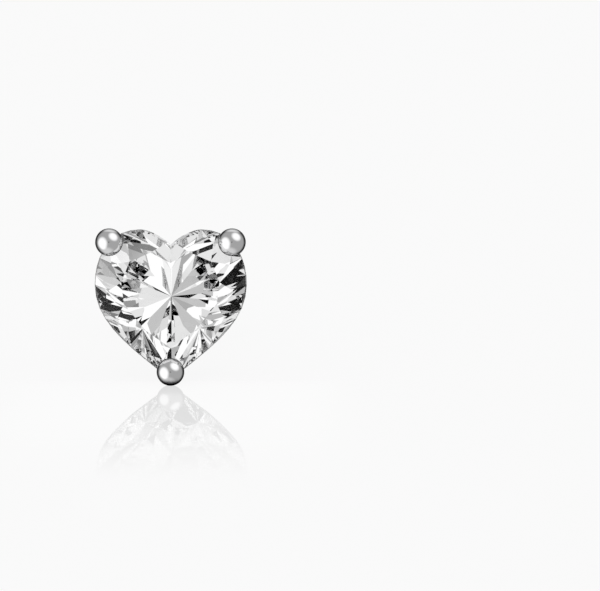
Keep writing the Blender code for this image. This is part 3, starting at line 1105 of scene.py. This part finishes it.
@dataclass
class Studio:
    """The plain studio: a pale glossy floor, a soft surround and the camera.

    Attributes:
        backdrop: How bright the backdrop and the floor look.
        metal_base: The surround's brightness in the silver.
        metal_cards: The light and dark cards that the silver sees.
        stone_base: The surround's brightness through the stone.
        stone_cards: The cards that the stone sees.
        floor_size: The floor's side.
        floor_gloss: How much the floor reflects at the earring's foot.
        floor_index: The refractive index of its glaze.
        floor_polish: How rough its glaze is.
        floor_matt: The share of its paleness that takes shadows.
        gloss_full: How far in front of the earring its reflection stays full.
        gloss_reach: How far in front of the earring it has faded out.
        gloss_start: How far behind its foot the reflection starts.
        gloss_sides: How far to each side it stays full, and where it has faded out.
        distance: From the camera to the stone.
        picture_width: The photograph's width in pixels.
        pixel: How much of the stone a pixel covers.
        aim: Where the camera points, in the earring's axes.
    """

    backdrop: float = 0.956
    metal_base: float = 0.40
    metal_cards: tuple = (
        Card((-0.85, -0.15, 0.50), 27.0, 54.0, 0.72),
        Card((0.55, 0.70, 0.45), 15.0, 44.0, 0.72),
        Card((-0.20, -0.97, 0.10), 10.0, 50.0, 0.28),
        Card((0.0, 0.0, -1.0), 48.0, 74.0, -0.33),
        Card((0.0, 0.388, -0.922), 6.0, 11.0, 0.886),
        Card((0.05, 0.80, -0.60), 12.0, 34.0, 0.55),
        Card((0.0, 0.0, 1.0), 3.0, 5.0, -0.40),
    )
    stone_base: float = 0.80
    stone_cards: tuple = (
        Card((0.3, -0.8, 0.6), 25.0, 27.0, 0.0),
        Card((0.6, 0.1, 0.8), 6.0, 7.0, 0.0),
        Card((-0.1, 0.2, 0.9), 5.5, 6.5, 0.0),
        Card((-0.3, 0.3, 0.9), 25.0, 27.0, 0.7),
        Card((0.5, 0.9, 0.2), 25.0, 27.0, 0.0),
        Card((0.5, -0.2, 0.9), 20.0, 22.0, 1.3),
        Card((-0.9, -0.3, 0.2), 25.0, 27.0, 0.0),
        Card((-0.2, -0.8, 0.6), 25.0, 27.0, 0.6),
        Card((-0.5, -0.3, 0.8), 20.0, 22.0, 1.3),
        Card((-0.6, 0.0, 0.8), 14.0, 16.0, 0.4),
        Card((0.0, -1.0, 0.1), 11.0, 13.0, 0.0),
        Card((-0.2, 0.7, 0.7), 15.0, 17.0, 1.3),
        Card((-0.2, 1.0, -0.1), 16.0, 18.0, 0.0),
    )
    floor_size: float = 4.0
    floor_gloss: float = 0.66
    floor_index: float = 1.5
    floor_polish: float = 0.01
    floor_matt: float = 0.05
    gloss_full: float = 5.0 * MM
    gloss_reach: float = 17.0 * MM
    gloss_start: float = 1.5 * MM
    gloss_sides: tuple = (5.0 * MM, 8.0 * MM)
    distance: float = 0.25
    picture_width: int = 600
    pixel: float = 0.03947 * MM
    aim: tuple = (5.10 * MM, 0.03 * MM, 0.0)

    def brightness(
        self, tree: Tree, lean: Lean, base: float, cards: tuple, filters: bool
    ) -> bpy.types.NodeSocket:
        """Adds up one set of cards, or lays them over one another as filters.

        Args:
            tree: The world's tree.
            lean: Where the earring's axes lie.
            base: The brightness where no card stands.
            cards: The cards.
            filters: Whether a card multiplies what stands behind it and doesn't add to it.

        Returns:
            The socket with the brightness.
        """
        way = tree.add("ShaderNodeTexCoord").outputs["Generated"]
        total: object = base
        for card in cards:
            towards = (np.array(card.towards) / np.linalg.norm(card.towards)) @ lean.axes
            nearness = tree.add(
                "ShaderNodeVectorMath", {0: way, 1: tuple(towards)}, operation="DOT_PRODUCT"
            ).outputs["Value"]
            rim, core = (math.cos(math.radians(angle)) for angle in (card.rim, card.core))
            unlit = 1.0 if filters else 0.0
            share = tree.ramp(nearness, rim, core, unlit, card.gain)
            total = tree.maths("MULTIPLY" if filters else "ADD", total, share)
        return tree.maths("MAXIMUM", total, 0.0)

    def light(self, lean: Lean) -> None:
        """Lights the scene with the studio's surround."""
        world = bpy.data.worlds.new("studio")
        world.use_nodes = True
        bpy.context.scene.world = world
        tree = Tree(world.node_tree)
        path = tree.add("ShaderNodeLightPath").outputs
        metal = self.brightness(tree, lean, self.metal_base, self.metal_cards, filters=False)
        stone = self.brightness(tree, lean, self.stone_base, self.stone_cards, filters=True)
        seen = tree.blend(path["Is Transmission Ray"], metal, stone)
        seen = tree.blend(path["Is Diffuse Ray"], seen, 1.0)
        seen = tree.blend(path["Is Camera Ray"], seen, self.backdrop)
        surround = tree.add("ShaderNodeBackground", {"Color": (1.0, 1.0, 1.0, 1.0), "Strength": seen})
        tree.add("ShaderNodeOutputWorld", {"Surface": surround.outputs[0]})

    def floor(self, foot: np.ndarray) -> None:
        """Lays the floor.

        Args:
            foot: Where the earring's tip stands on it.
        """
        corners = np.array([(-0.5, -0.5, 0.0), (0.5, -0.5, 0.0), (0.5, 0.5, 0.0), (-0.5, 0.5, 0.0)])
        floor = add_mesh("floor", corners * self.floor_size, [(0, 1, 2, 3)])
        material, tree, place = open_material("white_acrylic")
        spot = tree.add("ShaderNodeSeparateXYZ", {0: place}).outputs
        ahead = tree.maths("SUBTRACT", float(foot[1]), spot["Y"])
        fading = tree.ramp(ahead, self.gloss_full, self.gloss_reach, self.floor_gloss, 0.0)
        starting = tree.ramp(ahead, -self.gloss_start, 0.0, 0.0, 1.0)
        beside = tree.ramp(tree.maths("ABSOLUTE", spot["X"]), *self.gloss_sides, 1.0, 0.0)
        share = tree.add("ShaderNodeFresnel", {"IOR": self.floor_index}).outputs[0]
        for mask in (fading, starting, beside):
            share = tree.maths("MULTIPLY", share, mask)
        white = (1.0, 1.0, 1.0, 1.0)
        pale = (self.backdrop, self.backdrop, self.backdrop, 1.0)
        lit = tree.add("ShaderNodeEmission", {"Color": white, "Strength": self.backdrop})
        matt = tree.add("ShaderNodeBsdfDiffuse", {"Color": pale})
        plain = tree.add("ShaderNodeMixShader", {0: self.floor_matt, 1: lit.outputs[0], 2: matt.outputs[0]})
        gloss = tree.add("ShaderNodeBsdfGlossy", {"Color": white, "Roughness": self.floor_polish})
        whole = tree.add("ShaderNodeMixShader", {0: share, 1: plain.outputs[0], 2: gloss.outputs[0]})
        tree.add("ShaderNodeOutputMaterial", {"Surface": whole.outputs[0]})
        floor.data.materials.append(material)
        floor.visible_glossy = False
        floor.visible_transmission = False

    def camera(self, lean: Lean) -> None:
        """Stands the camera on the face's normal, as far to the side as the photograph's frame asks.

        Args:
            lean: Where the earring's axes lie.
        """
        data = bpy.data.cameras.new("camera")
        data.sensor_width = 36.0
        data.lens = data.sensor_width * self.distance / (self.picture_width * self.pixel)
        data.clip_start = 0.01
        data.clip_end = 20.0
        camera = add_object("camera", data)
        camera.location = lean.place(np.array(self.aim) + (0.0, 0.0, self.distance))
        camera.rotation_euler.x = math.atan2(lean.axes[1][2], lean.axes[1][1])
        bpy.context.scene.camera = camera

    def build(self, lean: Lean, foot: np.ndarray) -> None:
        """Builds the floor, the light and the camera.

        Args:
            lean: Where the earring's axes lie.
            foot: Where the earring's tip stands.
        """
        self.light(lean)
        self.floor(foot)
        self.camera(lean)
        scene = bpy.context.scene
        scene.view_settings.view_transform = "Standard"
        scene.cycles.max_bounces = 32
        scene.cycles.transmission_bounces = 32
        scene.cycles.glossy_bounces = 10
        scene.cycles.diffuse_bounces = 2
        scene.cycles.caustics_reflective = False
        scene.cycles.caustics_refractive = True


def report(piece: bpy.types.Object, slot: Slot) -> None:
    """Binds a piece to the earring's one body, and logs it with its slot.

    Args:
        piece: The piece.
        slot: The record's slot that it takes its finish from.
    """
    if "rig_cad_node" not in piece:
        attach(piece, "root")
    piece.data.calc_loop_triangles()
    LOG.info("%s: %d triangles, %s", piece.name, len(piece.data.loop_triangles), slot.value)


def main() -> None:
    """Builds the earring's looks and the studio round it."""
    logging.basicConfig(level=logging.INFO, format="%(name)s %(message)s")
    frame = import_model()
    stone = Stone()
    lean = Lean.of_frame(frame, stone.table_height)
    mirror = Silver(Polish.MIRROR, "mirror").material()
    # The ball tips take a shaded copy of the mirror silver: deeper painted shade near the stone and floor,
    # and a darker painted rim.
    tip_shade = {"painted_shade": (0.05, 0.05, 0.052, 1.0), "edge": (0.15, 0.15, 0.15, 1.0), "shade_range": (0.42, 0.88)}
    tips = Silver(Polish.MIRROR, "tips", **tip_shade).material()
    satin = Silver(Polish.SATIN, "satin").material()
    report(stone.build(frame, lean), Slot.CRYSTAL)
    seat = stone.seat(frame, lean)
    setting = Setting()
    for piece in setting.build(seat, lean, mirror, tips):
        report(piece, Slot.SILVER)
    bpy.data.objects.remove(seat, do_unlink=True)
    report(Clutch().build(lean, satin), Slot.SILVER)
    foot = lean.place(MM * setting.ball_spots()[2])
    Studio().build(lean, foot)


if __name__ == "__main__":
    main()
